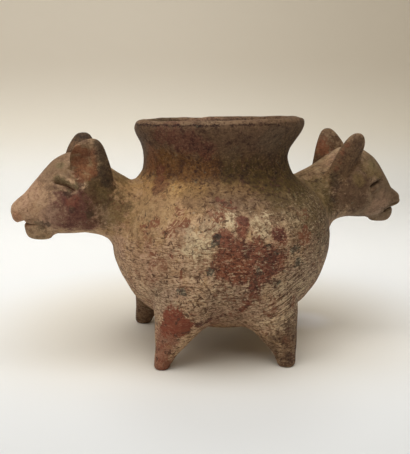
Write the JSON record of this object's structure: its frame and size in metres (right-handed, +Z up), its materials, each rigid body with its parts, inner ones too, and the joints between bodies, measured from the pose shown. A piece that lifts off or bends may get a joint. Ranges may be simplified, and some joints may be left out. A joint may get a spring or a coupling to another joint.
{
  "type": "four-legged vase",
  "caption": "Globular earthenware vase on short conical legs, with a flaring collar and a long-snouted, prick-eared animal head luted to each side; stands on a table, holds small contents.",
  "frame": {"origin": "on the floor, midway between the ends of the object, under the axis of the vessel", "axes": "+Z up along the axis of the vessel, +X towards the right-hand head, -Y towards the viewer of the picture"},
  "size_m": [0.2262, 0.1226, 0.1281],
  "materials": {
    "buff_clay": "matte",
    "brown_clay": "matte",
    "red_slip": "matte"
  },
  "bodies": {
    "root": {"lower_bowl": "buff_clay", "shoulder": "buff_clay", "left_neck": "buff_clay", "right_neck": "buff_clay", "neck_collar": "brown_clay", "rim_lip": "brown_clay", "left_head": "brown_clay", "right_head": "brown_clay", "left_jaw": "brown_clay", "right_jaw": "brown_clay", "left_near_ear": "brown_clay", "left_far_ear": "brown_clay", "right_near_ear": "brown_clay", "right_far_ear": "brown_clay", "front_left_leg": "red_slip", "front_right_leg": "red_slip", "rear_left_leg": "red_slip", "rear_right_leg": "red_slip"}
  },
  "joints": []
}
